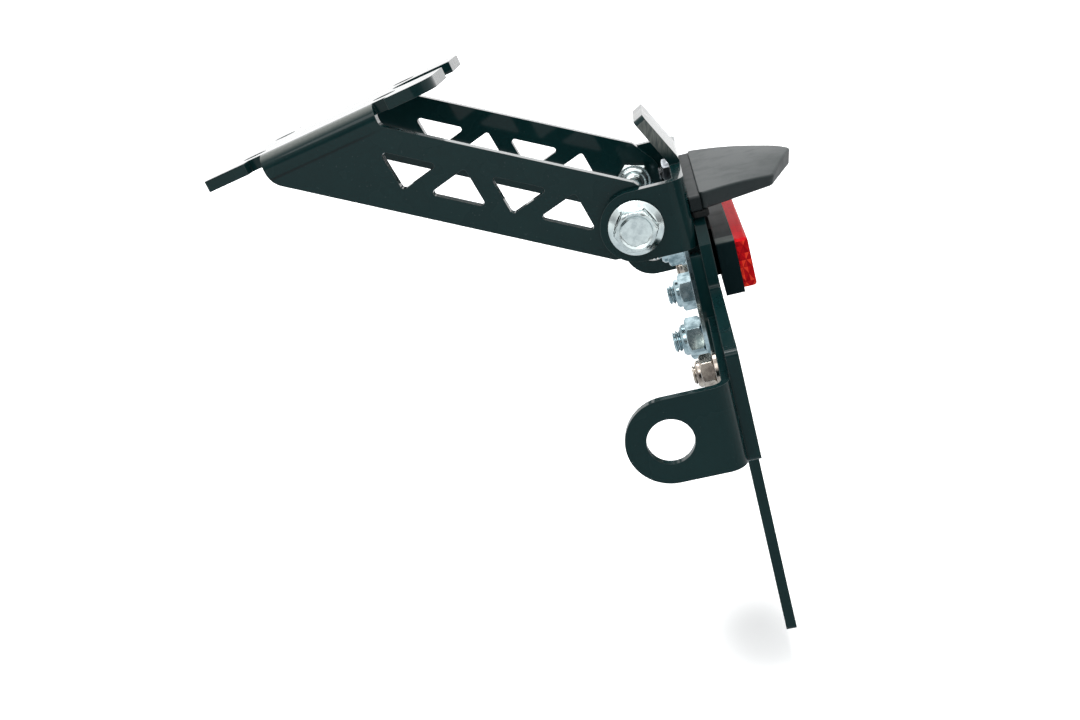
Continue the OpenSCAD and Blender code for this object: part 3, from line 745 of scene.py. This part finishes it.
@dataclass
class CadPieces:
    """CAD nodes that are shown as they are, in a better material."""

    finish: Finish
    nodes: tuple[str, ...]

    def dress(self) -> None:
        """Puts the finish in the nodes' material slots."""
        for name in self.nodes:
            piece = frame["nodes"][name]
            piece.data.materials.clear()
            piece.data.materials.append(self.finish.material())
            log.info("dressed %s in %s", name, self.finish.label)


@dataclass(frozen=True)
class Axis:
    """A line in the row frame: a point on it in millimetres, and the unit vector it runs along."""

    start: tuple[float, float, float]
    along: tuple[float, float, float]

    @staticmethod
    def through_plate(v: float, y: float, w: float) -> "Axis":
        """A line that runs forwards through the plate from depth v."""
        x, _, z = PLATE.points(np.array(v), np.array(y), np.array(w)) / MM
        return Axis((float(x), y, float(z)), (-math.cos(PLATE.tilt), 0.0, -math.sin(PLATE.tilt)))

    @staticmethod
    def into_arm(side: Side, y: float) -> "Axis":
        """The pivot's line, running inwards from a distance y out."""
        return Axis((PLATE.pivot[0], side.value * y, PLATE.pivot[1]), (0.0, -float(side.value), 0.0))

    def vectors(self) -> tuple[Array, Array, Array]:
        """Two unit vectors square to the line, and the line's own."""
        along = np.array(self.along)
        first = np.cross(along, [0.0, 0.0, 1.0])
        first /= np.linalg.norm(first)
        return first, np.cross(along, first), along

    def ring(self, reach: Array, radius: Array, angle: Array) -> Array:
        """Points at a reach along the line, a radius from it and an angle round it, in metres."""
        first, second, along = self.vectors()
        spoke = np.cos(angle)[..., None] * first + np.sin(angle)[..., None] * second
        return (np.array(self.start) + reach[..., None] * along + radius[..., None] * spoke) * MM


@dataclass
class ScrewEnd:
    """The threaded end of a bolt or stud that stands out of its nut.

    Along the axis it leaves the nut at nut_end and ends at end; it starts sunk inside the nut.
    """

    name: str
    axis: Axis
    nut_end: float
    end: float
    diameter: float
    pitch: float
    finish: Finish
    body: Body
    sunk: float = 1.6
    depth: float = 0.6
    sides: int = 40
    steps: int = 10

    def build(self) -> bpy.types.Object:
        """Winds the thread: the radius falls from the crest to the root and back once in each pitch
        of the reach less the share of a turn already made, and is cut down to a cone at the end."""
        start = self.nut_end - self.sunk
        count = int((self.end - start) / self.pitch * self.steps)
        reach, angle = np.meshgrid(
            np.linspace(start, self.end, count), np.arange(self.sides) / self.sides * math.tau,
            indexing="ij",
        )
        turn = (reach / self.pitch - angle / math.tau) % 1.0
        tooth = np.clip(np.abs(turn - 0.5) * 2.6 - 0.15, 0, 1)
        crest = self.diameter / 2
        root = crest - self.depth * self.pitch
        radius = np.minimum(crest + (root - crest) * tooth, root + 0.1 + self.end - reach)
        points = self.axis.ring(reach, radius, angle)
        first, last = points[:1] * 0 + points[0].mean(0), points[-1:] * 0 + points[-1].mean(0)
        inner = self.axis.ring(reach[-1:], radius[-1:] * 0.55, angle[-1:])
        points = np.concatenate([first, points, inner, last])
        return new_piece(self.name, points, self.finish, self.body)


@dataclass
class TurnedNode:
    """A CAD node shown as a copy with smooth round faces.

    Its plain screw ends are drawn in, so that the threads made here stand in their place: what lies
    beyond past_nut before a nut's end goes back to drawn_back before it, nearer to its line.
    """

    node: str
    name: str
    finish: Finish
    body: Body
    ends: tuple[ScrewEnd, ...] = ()
    past_nut: float = 0.3
    drawn_back: float = 0.8
    clearance: float = 0.1
    narrower: float = 0.4
    merge_gap: float = 2e-6
    sharp: float = 20.0

    def drawn_in(self, points: Array, end: ScrewEnd) -> Array:
        """The node's points with one screw end drawn in towards its line."""
        _, _, along = end.axis.vectors()
        start = np.array(end.axis.start) * MM
        reach = (points - start) @ along
        spoke = points - start - reach[:, None] * along
        far = reach > (end.nut_end - self.past_nut) * MM
        far &= np.linalg.norm(spoke, axis=1) < (end.diameter / 2 + self.clearance) * MM
        held = np.minimum(reach, (end.nut_end - self.drawn_back) * MM)
        return np.where(far[:, None], start + held[:, None] * along + spoke * self.narrower, points)

    def build(self) -> bpy.types.Object:
        """Copies the node's mesh, merges it, and draws its screw ends in."""
        mesh = frame["nodes"][self.node].data.copy()
        mesh.name = self.name
        tidy(mesh, self.merge_gap)
        points = np.empty(len(mesh.vertices) * 3, np.float32)
        mesh.vertices.foreach_get("co", points)
        points = points.reshape(-1, 3).astype(float)
        for end in self.ends:
            points = self.drawn_in(points, end)
        mesh.vertices.foreach_set("co", points.astype(np.float32).ravel())
        mesh.materials.clear()
        mesh.materials.append(self.finish.material())
        mesh.polygons.foreach_set("material_index", np.zeros(len(mesh.polygons), np.int32))
        smooth(mesh, self.sharp)
        mesh.update()
        made = put(self.name, mesh)
        even = made.modifiers.new("even faces", "WEIGHTED_NORMAL")
        even.keep_sharp, even.weight = True, 100
        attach(made, self.body.value)
        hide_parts(self.node)
        return made


@dataclass
class IndicatorPlate:
    """An indicator bracket whose fold is cleared on its inside, down to the bend's own radius."""

    side: Side
    inner_face: float = 86.0
    front_face: float = 12.4
    bend: float = 2.5
    middle: float = -36.3
    half: float = 11.2
    reach: float = 9.0
    gap: float = 0.01

    def inside(self) -> bpy.types.Object:
        """The space inside the fold: a square whose corner is rounded with the bend's radius."""
        v, y, r = self.front_face - self.gap, self.inner_face - self.gap, self.bend - self.gap
        turn = np.linspace(math.pi / 2, 0.0, 13)
        corner = np.stack([v - r + r * np.cos(turn), y - r + r * np.sin(turn)], -1)
        back, low = v - self.reach, y - self.reach
        plan = np.concatenate([[[back, y]], corner, [[v, low], [back, low]]])
        heights = np.array([self.middle - self.half, self.middle + self.half])
        points = PLATE.points(plan[None, :, 0], self.side.value * plan[None, :, 1], heights[:, None])
        ring = np.arange(len(plan))
        top = ring + len(plan)
        walls = np.stack([ring, np.roll(ring, -1), np.roll(top, -1), top], -1)
        mesh = bpy.data.meshes.new("inside of the fold")
        faces = [*walls.tolist(), ring.tolist(), top.tolist()[::-1]]
        mesh.from_pydata(points.reshape(-1, 3), [], faces)
        tidy(mesh, 1e-7)
        return put(mesh.name, mesh)

    def build(self) -> bpy.types.Object:
        """Copies the bracket and takes the space inside its fold away."""
        name = f"{self.side.word}_indicator"
        copy = TurnedNode(f"{name}_bracket", f"{name}_plate", COAT, Body.CARRIER)
        made = copy.build()
        made.modifiers["even faces"].show_viewport = False
        space = self.inside()
        cut = made.modifiers.new("clear the fold", "BOOLEAN")
        cut.operation, cut.solver, cut.object = "DIFFERENCE", "EXACT", space
        ready = made.evaluated_get(bpy.context.evaluated_depsgraph_get())
        made.data = bpy.data.meshes.new_from_object(ready)
        made.modifiers.remove(cut)
        bpy.data.objects.remove(space)
        made.data.name = made.name
        tidy(made.data, copy.merge_gap)
        smooth(made.data, copy.sharp)
        made.modifiers["even faces"].show_viewport = True
        return made


@dataclass
class Screws:
    """Every bolt and stud with its threaded end; lines through the plate start at the heads' face."""

    head_face: float = 17.4
    light_seat: float = 14.4
    bracket_row: float = -36.3
    made: list[bpy.types.Object] = field(default_factory=list)

    def add(self, node: str, name: str, finish: Finish, body: Body, *ends: ScrewEnd) -> None:
        """Builds one node's copy and its screw ends."""
        self.made.append(TurnedNode(node, name, finish, body, ends).build())
        self.made.extend(end.build() for end in ends)

    def pivot(self, side: Side) -> None:
        """One of the M6 bolts on which the carrier tilts."""
        end = ScrewEnd(
            f"{side.word}_pivot_thread", Axis.into_arm(side, 33.5), 12.05, 14.25, 6.0, 1.0, ZINC,
            Body.BRACKET,
        )
        self.add(f"{side.word}_pivot_bolt", f"{side.word}_pivot_screw", ZINC, Body.BRACKET, end)

    def bracket(self, side: Side) -> None:
        """The M5 bolt of one indicator bracket."""
        end = ScrewEnd(
            f"{side.word}_bracket_thread",
            Axis.through_plate(self.head_face, side.value * 50.0, self.bracket_row),
            10.7, 11.6, 5.0, 0.8, STAINLESS, Body.CARRIER,
        )
        name = f"{side.word}_bracket"
        self.add(f"{name}_bolt", f"{name}_screw", STAINLESS, Body.CARRIER, end)

    def build(self) -> list[bpy.types.Object]:
        """Builds the pivot bolts, the carrier bolts, the bracket bolts and the studs."""
        for side in Side:
            self.pivot(side)
        self.add("carrier_bolts", "carrier_screws", ZINC, Body.CARRIER, *(
            ScrewEnd(
                f"{side.word}_{row}_thread", Axis.through_plate(self.head_face, side.value * 22.0, up),
                13.15, 15.35, 6.0, 1.0, BLUE_ZINC, Body.CARRIER,
            )
            for side in Side for row, up in (("upper", -9.6), ("lower", self.bracket_row))
        ))
        for side in Side:
            self.bracket(side)
        self.add("light_base", "light_foot", BASE_PLASTIC, Body.CARRIER, *(
            ScrewEnd(
                f"{side.word}_light_thread",
                Axis.through_plate(self.light_seat, side.value * 19.0, 1.4),
                5.4, 6.6, 4.0, 0.7, BLACK_ZINC, Body.CARRIER,
            )
            for side in Side
        ))
        self.add("reflector_housing", "reflector_case", HOUSING, Body.CARRIER, ScrewEnd(
            "reflector_thread", Axis.through_plate(self.head_face, 0.0, -17.3), 10.0, 11.1, 5.0, 0.8,
            ZINC, Body.CARRIER,
        ))
        return self.made


@dataclass
class LightHood:
    """The light's hood: a pointed shell whose roof droops to its turned corners."""

    front: float = 17.3
    base: float = 30.5
    turn: float = 22.0
    turn_at: float = 36.8
    tip: float = 44.3
    centre: float = 28.3
    low: float = -0.6
    top: float = 3.95
    droop: float = 1.65
    nose_drop: float = 0.25
    lip: float = 0.55
    back_lip: float = 0.15
    lean: float = 0.9
    wall: float = 0.8
    rim: float = 0.3
    ceiling: float = 1.95

    def outline(self) -> Array:
        """The plan as (v, y) points: a straight back, slightly bowed sides and a blunt tip."""
        return rounded_outline([
            (self.front, -self.base, 1.2), (self.turn_at, -self.turn, 3.0), (self.tip, 0.0, 5.0),
            (self.turn_at, self.turn, 3.0), (self.front, self.base, 1.2),
        ], 0.45)

    def middle(self) -> Array:
        """The point of the plan that the rings of the roof and the ceiling shrink to."""
        return np.array([self.centre, 0.0])

    def free(self, plan: Array) -> Array:
        """0 along the straight back, where the hood stands against its base, and 1 past it."""
        return np.clip((plan[:, 0] - self.front - 0.4) / 1.2, 0, 1)

    def roof(self, v: Array, y: Array) -> Array:
        """Height of the roof: flat along the base, drooping with the square of the reach and steeply
        with the distance from the middle, and a little lower at the nose."""
        reach = np.clip((v - self.front) / (self.turn_at - self.front), 0, None)
        side = np.abs(y) / (self.base + (self.turn - self.base) * np.clip(reach, 0, 1))
        nose = np.clip((v - self.front) / (self.tip - self.front), 0, 1)
        droop = self.droop * np.clip(reach, 0, 1.2) ** 2 * side ** 2.2
        return self.top - droop - self.nose_drop * nose ** 3

    def build(self) -> bpy.types.Object:
        """Carries a profile round the plan: over the roof, round the lip, down the side, under the
        rim and up inside to the ceiling. Each ring is the plan at an inset and a height; a share of the
        side's height still follows the roof, and below it every ring is level."""
        plan, r, low = self.outline(), self.rim, self.low
        normal, free = inward(plan), self.free(plan)
        lip, foot = self.back_lip + (self.lip - self.back_lip) * free, self.lean * free
        angle = np.linspace(0, math.pi / 2, 7)
        sine, cosine = np.sin(angle), np.cos(angle)
        down = np.array([[0.35], [0.7], [0.93]])
        thick = np.concatenate([
            r * (1 - cosine[1:]), self.wall - r + r * sine[:-1], np.full(2, self.wall),
            self.wall + r * (1 - cosine),
        ])
        level = np.concatenate([
            low + r - r * sine[1:], low + r * (1 - cosine[:-1]),
            low + (self.ceiling - r) * np.array([0.4, 0.8]), low + self.ceiling - r + r * sine,
        ])
        inset = np.concatenate([lip * (1 - sine[:, None]), foot * down, foot + thick[:, None]])
        side = plan + normal * inset[..., None]
        over = self.roof(side[..., 0], side[..., 1])[:len(angle) + len(down)]
        height = np.concatenate([
            over[:len(angle)] - lip * (1 - cosine[:, None]),
            (over[len(angle):] - lip) * (1 - down) + low * down, level[:, None] + 0 * foot,
        ])
        crown = shrunk(plan + normal * lip[:, None], self.middle(), np.linspace(0, 1, 22)[:-1] ** 0.8)
        inside = plan + normal * (foot + self.wall + r)[:, None]
        inside = shrunk(inside, self.middle(), np.linspace(1, 0, 9)[1:])
        at = np.concatenate([crown, side, inside])
        height = np.concatenate([
            self.roof(crown[..., 0], crown[..., 1]), height,
            np.full(inside.shape[:2], low + self.ceiling),
        ])
        made = new_piece("hood_shell", PLATE.raised(at, height), HOOD_PLASTIC, Body.CARRIER)
        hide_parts("light_hood")
        return made


@dataclass
class BaseShadeStrip:
    """A black strip under the light's base that stands in for the shade there and hides the see-through
    gap beneath the base.
    """

    front: float = 14.45
    back: float = 18.8
    half: float = 30.4
    low: float = -2.3
    high: float = -0.62
    corner: float = 0.8
    round: float = 0.4

    def build(self) -> bpy.types.Object:
        """Carries a profile with rounded edges round the strip and closes it above and below."""
        f, b, h, c, r = self.front, self.back, self.half, self.corner, self.round
        plan = rounded_outline([(f, -h, c), (b, -h, c), (b, h, c), (f, h, c)], 0.6)
        angle = np.linspace(0, math.pi / 2, 5)
        sine, cosine = np.sin(angle), np.cos(angle)
        inset = r * np.concatenate([1 - sine, 1 - cosine])
        height = np.concatenate([self.low + r * (1 - cosine), self.high - r + r * sine])
        side = plan + inward(plan) * inset[:, None, None]
        middle, shares = np.array([(f + b) / 2, 0.0]), np.linspace(0, 1, 5)[:-1]
        at = np.concatenate([
            shrunk(side[0], middle, shares), side, shrunk(side[-1], middle, shares[::-1]),
        ])
        height = np.concatenate([np.full(4, self.low), height, np.full(4, self.high)])[:, None]
        return new_piece("base_shade_strip", PLATE.raised(at, height), SHADE_BLACK, Body.CARRIER)


@dataclass
class LightLens:
    """The clear lens that closes the hood from below, following the hood's leaning wall."""

    hood: LightHood
    low: float = -0.45
    high: float = 0.3
    inside: float = 0.7
    rib: float = 0.12
    rib_pitch: float = 2.4

    def build(self) -> bpy.types.Object:
        """A slab inside the hood's rim. Its underside carries a wave across the bike, the cosine of
        the distance over the pitch, that fades out towards the edge."""
        plan = self.hood.outline()
        edge = plan + inward(plan) * (self.hood.lean * self.hood.free(plan) + self.inside)[:, None]
        shares = np.linspace(0, 1, 26)
        at = shrunk(edge, self.hood.middle(), shares)
        wave = 0.5 - 0.5 * np.cos(at[..., 1] / self.rib_pitch * math.tau)
        under = PLATE.raised(at, self.low + self.rib * wave * (1 - shares[:, None] ** 6))
        over = PLATE.raised(at, np.array(self.high))[::-1]
        made = new_piece("clear_lens", np.concatenate([under, over]), CLEAR, Body.CARRIER)
        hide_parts("light_lens")
        return made


@dataclass
class ReflectorLens:
    """The red lens: a slab with rounded edges and a slight crown that sits in the housing's seat."""

    half: float = 29.5
    low: float = -23.6
    high: float = -10.5
    back: float = 21.9
    face: float = 26.8
    back_edge: float = 0.2
    round: float = 0.8
    corner: float = 1.2
    crown: float = 0.12

    def build(self) -> bpy.types.Object:
        """Carries a profile round the lens's outline and closes it over the face and the back. The
        face rises towards its middle by the crown less the square of the share of the way out."""
        h, lo, hi, c, r, b = self.half, self.low, self.high, self.corner, self.round, self.back_edge
        plan = rounded_outline([(-h, lo, c), (h, lo, c), (h, hi, c), (-h, hi, c)], 0.6)
        angle = np.linspace(0, math.pi / 2, 6)
        inset = np.concatenate([[b, 0.0], r * (1 - np.cos(angle))])
        depth = np.concatenate([[self.back, self.back + b], self.face - r + r * np.sin(angle)])
        side = plan + inward(plan) * inset[:, None, None]
        middle, shares = np.array([0.0, (lo + hi) / 2]), np.linspace(1, 0, 8)[1:]
        at = np.concatenate([
            shrunk(side[0], middle, shares[::-1]), side, shrunk(side[-1], middle, shares),
        ])
        depth = np.concatenate([
            np.full(len(shares), self.back), depth, self.face + self.crown * (1 - shares ** 2),
        ])
        made = new_piece(
            "red_lens", PLATE.points(depth[:, None], at[..., 0], at[..., 1]), RED, Body.CARRIER, 40.0
        )
        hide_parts("reflector_lens")
        return made


@dataclass
class Studio:
    """The white floor, the backdrop's glow, soft lamps and the camera.

    Lengths are millimetres, but the floor's reaches, which its material reads in metres. Each lamp is
    a name, the direction it shines from, its width in degrees and its strength.
    """

    floor_gap: float = 9.4
    floor_half: float = 4000.0
    foot: tuple[float, float, float] = (0.1268, -0.0115, 0.0)
    paper: Colour = (0.80, 0.81, 0.81)
    veil: Colour = (0.85, 0.85, 0.85)
    glow: tuple[Colour, Colour] = ((0.30, 0.30, 0.30), (0.66, 0.66, 0.66))
    glow_reach: tuple[float, float] = (0.006, 0.026)
    mirrored: tuple[Colour, Colour] = ((0.85, 0.89, 0.92), (1.22, 1.23, 1.23))
    mirrored_reach: tuple[float, float] = (0.2, 1.0)
    sky: Colour = (0.93, 0.98, 1.0)
    sky_strength: float = 0.35
    camera_at: tuple[float, float, float] = (79.01, -340.72, 51.86)
    camera_turn: tuple[float, float, float] = (70.32, 0.0, 3.56)
    lens: float = 41.17
    sensor: float = 36.0
    lamps: tuple[tuple[str, tuple[float, float, float], float, float], ...] = (
        ("top lamp", (-0.13, 0.24, 1.0), 28.0, 1.9),
        ("sky lamp", (0.10, 0.20, 1.0), 150.0, 1.2),
        ("front lamp", (-0.5, -1.0, 0.9), 30.0, 0.6),
    )

    def floor_paper(self) -> bpy.types.Material:
        """White paper. To the camera it glows less near the tongue's foot, so that the shadow shows
        best there; what mirrors it sees it whiter far away, and from below it is clear."""
        material = bpy.data.materials.new("floor paper")
        g = Graph(material)
        direct, seen = g.rays()
        place = g.vector("MULTIPLY", g.place(), (1.0, 0.7, 0.0))
        distance = g.vector("DISTANCE", place, self.foot, "Value")
        light, white = (
            g.node("ShaderNodeEmission", None, {"Color": g.blend(g.rise(distance, *reach), *colours)})
            for reach, colours in (
                (self.glow_reach, self.glow), (self.mirrored_reach, self.mirrored),
            )
        )
        paper, veil = (
            g.node("ShaderNodeBsdfDiffuse", None, {"Color": colour})
            for colour in (self.paper, self.veil)
        )
        shown = g.node("ShaderNodeAddShader", None, {0: veil, 1: light})
        above = g.mix(seen, paper, g.mix(direct, white, shown))
        below = g.node("ShaderNodeBsdfTransparent", None, {"Color": (1.0, 1.0, 1.0)})
        g.finish(g.mix(g.facing("Backfacing"), above, below))
        return material

    def floor(self) -> None:
        """A wide floor, low enough for the tongue at its steepest tilt."""
        low, w = cad_low.z - self.floor_gap * MM, self.floor_half * MM
        mesh = bpy.data.meshes.new("floor")
        mesh.from_pydata([(-w, -w, low), (w, -w, low), (w, w, low), (-w, w, low)], [], [(0, 1, 2, 3)])
        mesh.materials.append(self.floor_paper())
        put("floor", mesh)

    def world(self) -> None:
        """White to the camera, and above and behind to what mirrors it; a soft light for the rest."""
        world = bpy.data.worlds.new("backdrop")
        bpy.context.scene.world = world
        g = Graph(world)
        direct, seen = g.rays()
        towards = g.node("ShaderNodeTexCoord", out="Generated")
        slant = g.split(towards, "Z") + 0.35 * g.split(towards, "Y") - 0.12 * g.split(towards, "X")
        lit = g.rise(slant, -0.3, 0.45, 0.20, 1.20)
        soft, white = (
            g.node("ShaderNodeBackground", None, {"Color": colour, "Strength": strength})
            for colour, strength in (
                (self.sky, self.sky_strength), ((1.0, 1.0, 1.0), direct.larger(lit)),
            )
        )
        g.finish(g.mix(seen, soft, white), "ShaderNodeOutputWorld")

    def light(self) -> None:
        """Wide far lamps."""
        for name, towards, width, power in self.lamps:
            data = bpy.data.lights.new(name, "SUN")
            data.angle, data.energy = math.radians(width), power
            lamp = put(name, data)
            lamp.rotation_euler = Vector(towards).to_track_quat("Z", "Y").to_euler()

    def camera(self) -> None:
        """The camera where the photograph was taken from."""
        data = bpy.data.cameras.new("camera")
        data.lens, data.sensor_width = self.lens, self.sensor
        data.clip_start, data.clip_end = 0.01, 50.0
        made = put("camera", data)
        made.location = [a * MM for a in self.camera_at]
        made.rotation_euler = [math.radians(a) for a in self.camera_turn]
        bpy.context.scene.camera = made

    def build(self) -> None:
        """Sets the studio up."""
        self.floor()
        self.world()
        self.light()
        self.camera()
        bpy.context.scene.view_settings.view_transform = "Standard"


def main() -> None:
    """Builds and dresses the sub-assemblies in order."""
    logging.basicConfig(level=logging.INFO, format="%(message)s")
    for finish, nodes in (
        (FOLDED_COAT, ("tail_bracket",)),
        (TAB_COAT, ("plate_carrier",)),
        (COAT, ("plate_holder",)),
        (ZINC, ("left_pivot_nut", "right_pivot_nut")),
        (BLUE_ZINC, ("left_backing_strip", "right_backing_strip", "carrier_nuts", "reflector_nut")),
        (STAINLESS, (
            "left_bracket_washer", "right_bracket_washer", "left_bracket_nut", "right_bracket_nut",
        )),
        (BOARD, ("light_board",)),
        (BLACK_ZINC, ("light_nuts",)),
    ):
        CadPieces(finish, nodes).dress()
    hood = LightHood()
    for made in (
        *(IndicatorPlate(side).build() for side in Side), *Screws().build(), hood.build(),
        BaseShadeStrip().build(), LightLens(hood).build(), ReflectorLens().build(),
    ):
        log.info("built %s: %d faces", made.name, len(made.data.polygons))
    Studio().build()


if __name__ == "__main__":
    main()
